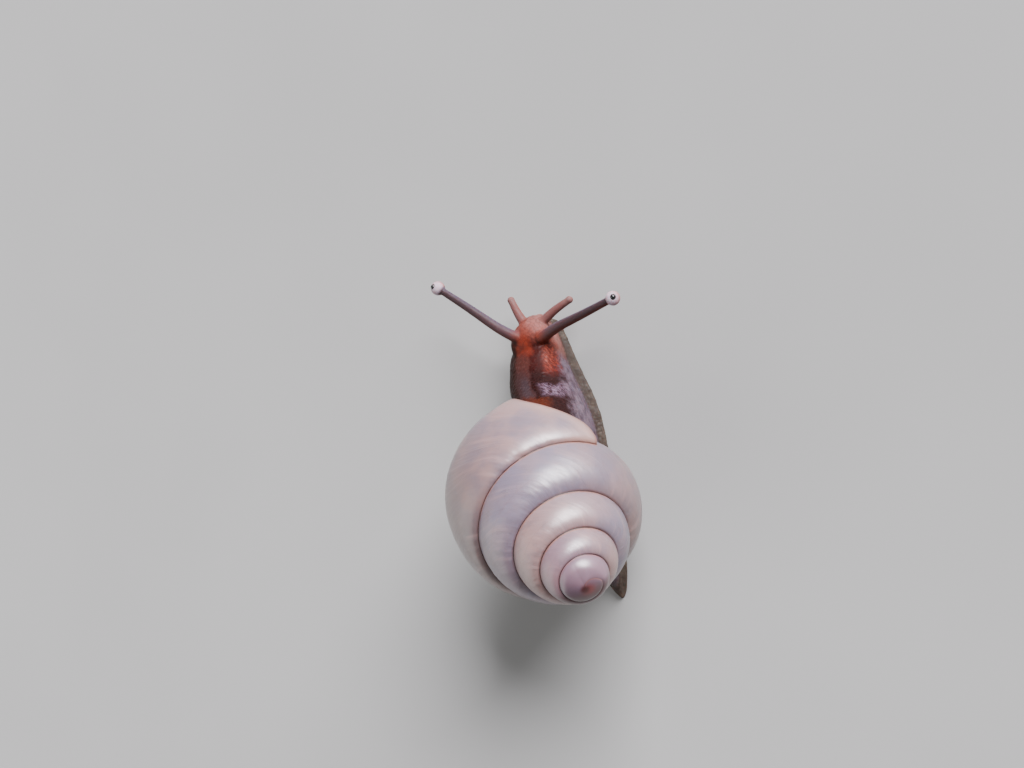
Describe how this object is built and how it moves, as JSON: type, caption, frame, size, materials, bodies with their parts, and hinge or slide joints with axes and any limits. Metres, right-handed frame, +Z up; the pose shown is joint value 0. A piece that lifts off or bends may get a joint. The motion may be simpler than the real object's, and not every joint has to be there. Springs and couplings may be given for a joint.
{
  "type": "land snail model",
  "caption": "Still life-size model of a crawling land snail: pale globose spiral shell, banded neck, flat foot and two pairs of feelers.",
  "frame": {"origin": "on the flat sole, under the shell, on the foot's middle line", "axes": "+Z up from the floor, -Y to the head, +Y to the tail, -X to the animal's right side"},
  "size_m": [0.0216, 0.0365, 0.0203],
  "materials": {
    "shell": "thin translucent pearly shell, pinkish white, faint growth lines",
    "mantle": "moist orange-brown mantle edge",
    "neck_skin": "moist wrinkled skin, pale back stripe between maroon bands",
    "head_skin": "moist salmon-pink skin",
    "foot_skin": "moist pale grey-cream skin",
    "feeler_skin": "translucent grey-mauve skin",
    "eye": "glossy black"
  },
  "bodies": {
    "root": {"shell": "shell", "mantle_collar": "mantle", "neck": "neck_skin", "body_stalk": "neck_skin", "head": "head_skin", "foot_front": "foot_skin", "foot_middle": "foot_skin", "foot_tail": "foot_skin", "upper_tentacle_left_root": "feeler_skin", "upper_tentacle_left_middle": "feeler_skin", "upper_tentacle_left_tip": "feeler_skin", "upper_tentacle_right_root": "feeler_skin", "upper_tentacle_right_middle": "feeler_skin", "upper_tentacle_right_tip": "feeler_skin", "lower_tentacle_left": "feeler_skin", "lower_tentacle_right": "feeler_skin", "eye_left": "eye", "eye_right": "eye"}
  },
  "joints": []
}
